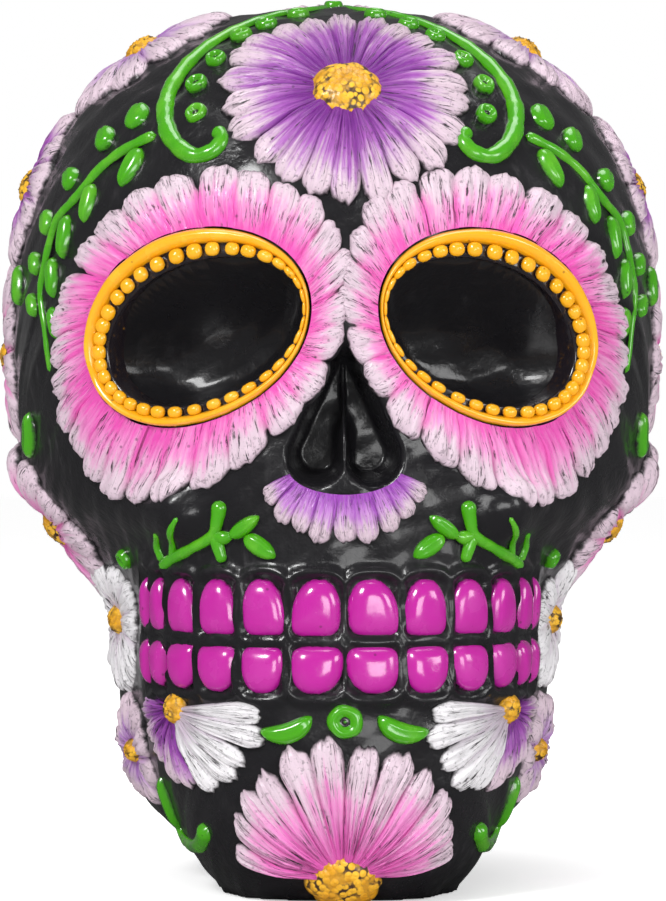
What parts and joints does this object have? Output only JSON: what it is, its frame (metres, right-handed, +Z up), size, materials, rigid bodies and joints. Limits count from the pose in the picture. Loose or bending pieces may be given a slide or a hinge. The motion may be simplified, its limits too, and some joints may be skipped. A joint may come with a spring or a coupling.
{
  "type": "painted sugar skull ornament",
  "caption": "Hollow ornamental skull with closed jaw, covered in raised painted flowers, petals, vines and coloured teeth, standing on a flat base.",
  "frame": {"origin": "on the resting surface, under the middle of the skull", "axes": "+Z up, the face looks along -Y, +X to the right as seen from the front"},
  "size_m": [0.115, 0.1281, 0.1499],
  "materials": {
    "black_gloss": "gloss black paint with grey dry-brushing",
    "plug": "matt",
    "amber": "glossy amber paint",
    "yellow": "matt mustard paint over a pitted surface",
    "magenta": "very glossy magenta paint",
    "green": "glossy green paint with worn pale edges",
    "purple_petal": "satin paint, purple at the base and white at the tips",
    "pale_petal": "satin paint, off-white with dark cracks",
    "pink_petal": "satin paint, hot pink at the base and pale at the tips"
  },
  "bodies": {
    "root": {"skull_shell": "black_gloss", "base_plug": "plug", "eye_ring_left": "amber", "eye_ring_right": "amber", "eye_beads_left": "amber", "eye_beads_right": "amber", "eye_petals_left": "pink_petal", "eye_petals_right": "pink_petal", "nose_petals": "purple_petal", "forehead_petals": "purple_petal", "forehead_centre": "yellow", "chin_petals": "pink_petal", "chin_centre": "yellow", "jaw_petals_left": "pale_petal", "jaw_petals_right": "pale_petal", "jaw_flower_centres": "yellow", "temple_petals_left": "purple_petal", "temple_petals_right": "purple_petal", "side_upper_petals_left": "purple_petal", "side_upper_petals_right": "purple_petal", "side_middle_petals_left": "pink_petal", "side_middle_petals_right": "pink_petal", "side_lower_petals_left": "pink_petal", "side_lower_petals_right": "pink_petal", "side_flower_centres": "yellow", "ramus_petals_left": "pale_petal", "ramus_petals_right": "pale_petal", "jaw_edge_petals_left": "purple_petal", "jaw_edge_petals_right": "purple_petal", "ramus_flower_centres": "yellow", "crown_petals": "pink_petal", "back_upper_petals": "purple_petal", "back_lower_petals": "pink_petal", "rear_upper_petals_left": "pink_petal", "rear_upper_petals_right": "pink_petal", "rear_middle_petals_left": "pink_petal", "rear_middle_petals_right": "pink_petal", "rear_lower_petals_left": "purple_petal", "rear_lower_petals_right": "purple_petal", "back_flower_centres": "yellow", "upper_teeth": "magenta", "lower_teeth": "magenta", "scroll_vine_left": "green", "scroll_vine_right": "green", "vine_dots_left": "green", "vine_dots_right": "green", "leaf_spray_left": "green", "leaf_spray_right": "green", "cheek_sprig_left": "green", "cheek_sprig_right": "green", "chin_leaves": "green", "chin_dot": "green", "jaw_hooks": "green", "cheek_dots": "green", "crown_dot": "green", "rear_leaves_left": "green", "rear_leaves_right": "green"}
  },
  "joints": []
}
